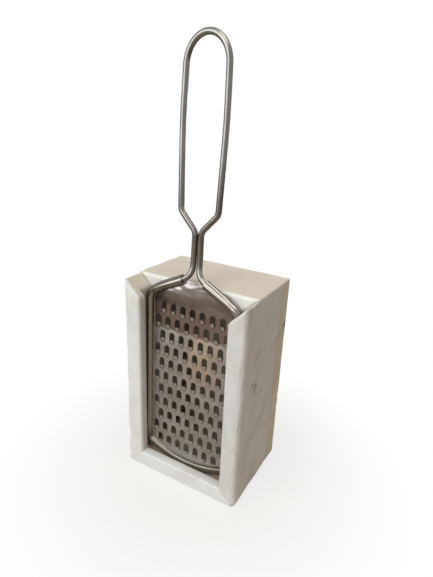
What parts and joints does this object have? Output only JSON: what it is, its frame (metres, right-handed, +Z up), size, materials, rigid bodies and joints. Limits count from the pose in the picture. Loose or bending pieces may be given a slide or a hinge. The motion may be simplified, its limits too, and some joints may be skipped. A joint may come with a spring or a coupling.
{
  "type": "cheese grater",
  "caption": "Flat hand grater with a looped wire handle and rolled rim, standing in a mitred marble stand whose grooves hold it in front of a hollow for gratings.",
  "frame": {"origin": "centre of the stand's underside, where it rests on the table", "axes": "+Z up along the handle, -Y out of the stand's open front, +X to the right seen from the front"},
  "size_m": [0.093, 0.068, 0.3016],
  "materials": {
    "marble": "honed",
    "wire": "polished",
    "sheet": "satin"
  },
  "bodies": {
    "stand": {"base_slab": "marble", "left_slab": "marble", "right_slab": "marble", "top_slab": "marble", "back_slab": "marble"},
    "grater": {"wire_frame": "wire", "grating_sheet": "sheet"}
  },
  "joints": [
    {"name": "grater_lift", "type": "slide", "parent": "stand", "child": "grater", "axis": [0, 0, 1], "range_m": [0, 0.15]}
  ]
}
